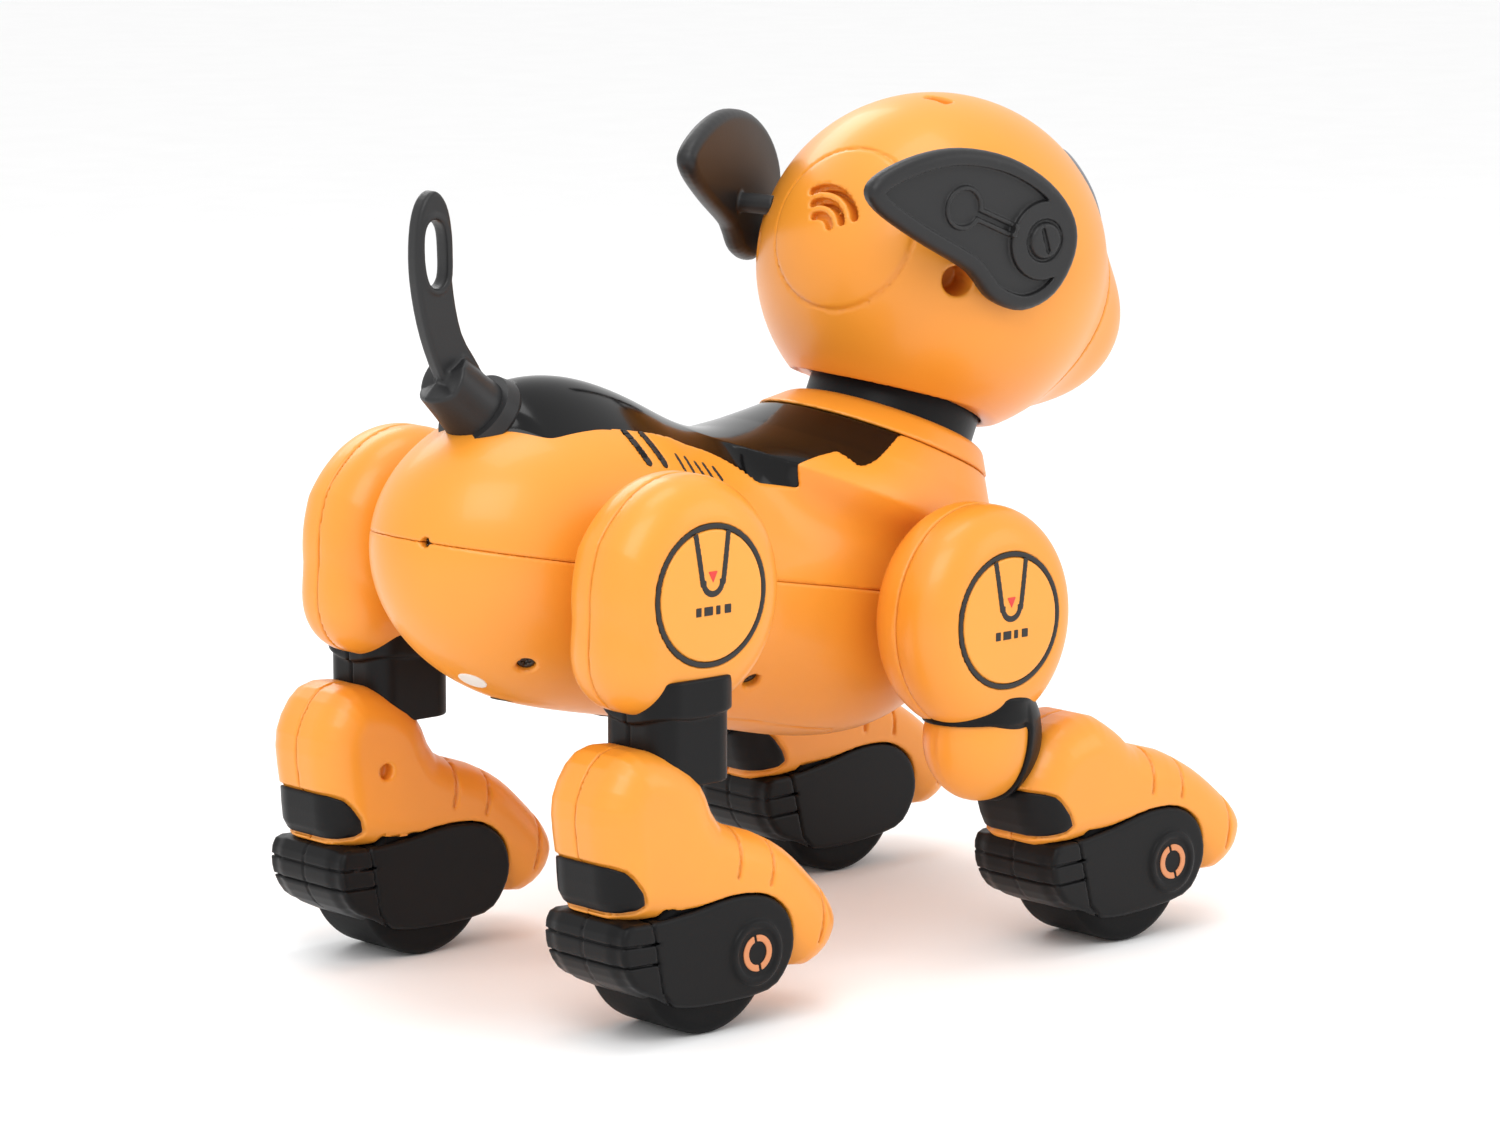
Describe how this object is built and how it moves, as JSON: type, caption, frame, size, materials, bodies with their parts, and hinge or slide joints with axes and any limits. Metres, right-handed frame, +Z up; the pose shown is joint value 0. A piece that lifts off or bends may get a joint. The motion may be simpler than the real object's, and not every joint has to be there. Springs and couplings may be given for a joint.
{
  "type": "toy robot dog",
  "caption": "Walking toy robot dog with rounded shell body, turning head, floppy ears, curved tail, swinging legs and boots that roll on wide wheels.",
  "frame": {"origin": "on the floor, under the middle of the overall box", "axes": "+X forward from tail to feet, +Y to the dog's left, +Z up"},
  "size_m": [0.2926, 0.174, 0.2665],
  "materials": {
    "orange_shell": "satin moulded",
    "gloss_black": "polished",
    "black_plastic": "satin moulded",
    "black_rubber": "soft matte",
    "wheel_black": "satin",
    "grey_plastic": "moulded",
    "battery_wrap": "shrink wrap",
    "circuit_board": "solder mask",
    "steel": "turned"
  },
  "bodies": {
    "torso": {"body_shell_upper": "orange_shell", "body_shell_lower": "orange_shell", "back_cover": "gloss_black", "neck_collar": "orange_shell", "neck_ring": "black_plastic", "tail_socket": "black_rubber", "battery_door": "orange_shell", "battery_pack": "battery_wrap", "main_board": "circuit_board", "charge_socket": "black_plastic", "torso_screws": "steel", "hind_leg_gearbox": "grey_plastic", "front_leg_gearbox": "grey_plastic", "head_motor": "steel"},
    "head": {"head_shell": "orange_shell", "muzzle_shell": "orange_shell", "face_visor": "gloss_black", "nose": "gloss_black", "speaker": "black_plastic", "neck_shaft": "steel"},
    "ear_right": {"ear_right": "black_rubber"},
    "ear_left": {"ear_left": "black_rubber"},
    "tail": {"tail": "black_rubber"},
    "power_switch": {"power_switch": "black_plastic"},
    "hind_right_leg": {"hind_right_thigh_outer": "orange_shell", "hind_right_thigh_inner": "orange_shell", "hind_right_side_cap": "orange_shell", "hind_right_hip_shaft": "steel", "hind_right_knee_bracket": "black_plastic", "hind_right_boot_outer": "orange_shell", "hind_right_boot_inner": "orange_shell", "hind_right_wheel_housing": "black_plastic"},
    "hind_right_wheel": {"hind_right_wheel": "wheel_black"},
    "hind_left_leg": {"hind_left_thigh_outer": "orange_shell", "hind_left_thigh_inner": "orange_shell", "hind_left_side_cap": "orange_shell", "hind_left_hip_shaft": "steel", "hind_left_knee_bracket": "black_plastic", "hind_left_boot_outer": "orange_shell", "hind_left_boot_inner": "orange_shell", "hind_left_wheel_housing": "black_plastic"},
    "hind_left_wheel": {"hind_left_wheel": "wheel_black"},
    "front_right_leg": {"front_right_thigh_outer": "orange_shell", "front_right_thigh_inner": "orange_shell", "front_right_side_cap": "orange_shell", "front_right_hip_shaft": "steel", "front_right_knee_bracket": "black_plastic", "front_right_boot_outer": "orange_shell", "front_right_boot_inner": "orange_shell", "front_right_wheel_housing": "black_plastic"},
    "front_right_wheel": {"front_right_wheel": "wheel_black"},
    "front_left_leg": {"front_left_thigh_outer": "orange_shell", "front_left_thigh_inner": "orange_shell", "front_left_side_cap": "orange_shell", "front_left_hip_shaft": "steel", "front_left_knee_bracket": "black_plastic", "front_left_boot_outer": "orange_shell", "front_left_boot_inner": "orange_shell", "front_left_wheel_housing": "black_plastic"},
    "front_left_wheel": {"front_left_wheel": "wheel_black"}
  },
  "joints": [
    {"name": "hind_right_swing", "type": "hinge", "parent": "torso", "child": "hind_right_leg", "pos_m": [-0.0875, 0, 0.1318], "axis": [0, 1, 0], "range_deg": [-15, 25]},
    {"name": "hind_right_wheel_spin", "type": "hinge", "parent": "hind_right_leg", "child": "hind_right_wheel", "pos_m": [-0.0915, -0.0675, 0.025], "axis": [0, 1, 0], "continuous": true},
    {"name": "hind_left_swing", "type": "hinge", "parent": "torso", "child": "hind_left_leg", "pos_m": [-0.0875, 0, 0.1318], "axis": [0, 1, 0], "range_deg": [-15, 25]},
    {"name": "hind_left_wheel_spin", "type": "hinge", "parent": "hind_left_leg", "child": "hind_left_wheel", "pos_m": [-0.0915, 0.0675, 0.025], "axis": [0, 1, 0], "continuous": true},
    {"name": "front_right_swing", "type": "hinge", "parent": "torso", "child": "front_right_leg", "pos_m": [0.0359, 0, 0.1092], "axis": [0, 1, 0], "range_deg": [-20, 25]},
    {"name": "front_right_wheel_spin", "type": "hinge", "parent": "front_right_leg", "child": "front_right_wheel", "pos_m": [0.08675, -0.0675, 0.025], "axis": [0, 1, 0], "continuous": true},
    {"name": "front_left_swing", "type": "hinge", "parent": "torso", "child": "front_left_leg", "pos_m": [0.0359, 0, 0.1092], "axis": [0, 1, 0], "range_deg": [-20, 25]},
    {"name": "front_left_wheel_spin", "type": "hinge", "parent": "front_left_leg", "child": "front_left_wheel", "pos_m": [0.08675, 0.0675, 0.025], "axis": [0, 1, 0], "continuous": true},
    {"name": "head_turn", "type": "hinge", "parent": "torso", "child": "head", "pos_m": [0.0589, 0, 0.1665], "axis": [0.4067, 0, 0.9135], "range_deg": [-50, 30]},
    {"name": "ear_right_tilt", "type": "hinge", "parent": "head", "child": "ear_right", "pos_m": [0.04061, -0.05471, 0.22539], "axis": [-0.1508, -0.9862, -0.069], "range_deg": [-15, 20]},
    {"name": "ear_left_tilt", "type": "hinge", "parent": "head", "child": "ear_left", "pos_m": [0.02576, 0.0375, 0.232], "axis": [-0.4529, 0.8892, 0.0655], "range_deg": [-20, 15]},
    {"name": "tail_swivel", "type": "hinge", "parent": "torso", "child": "tail", "pos_m": [-0.1121, 0, 0.18], "axis": [-0.7431, 0, 0.6691], "range_deg": [-40, 40]},
    {"name": "power_switch_slide", "type": "slide", "parent": "torso", "child": "power_switch", "axis": [0.9833, 0, -0.1822], "range_m": [0, 0.003]}
  ],
  "couplings": [
    {"joint": "hind_left_swing", "follows": "hind_right_swing", "ratio": 1},
    {"joint": "front_left_swing", "follows": "front_right_swing", "ratio": 1}
  ]
}
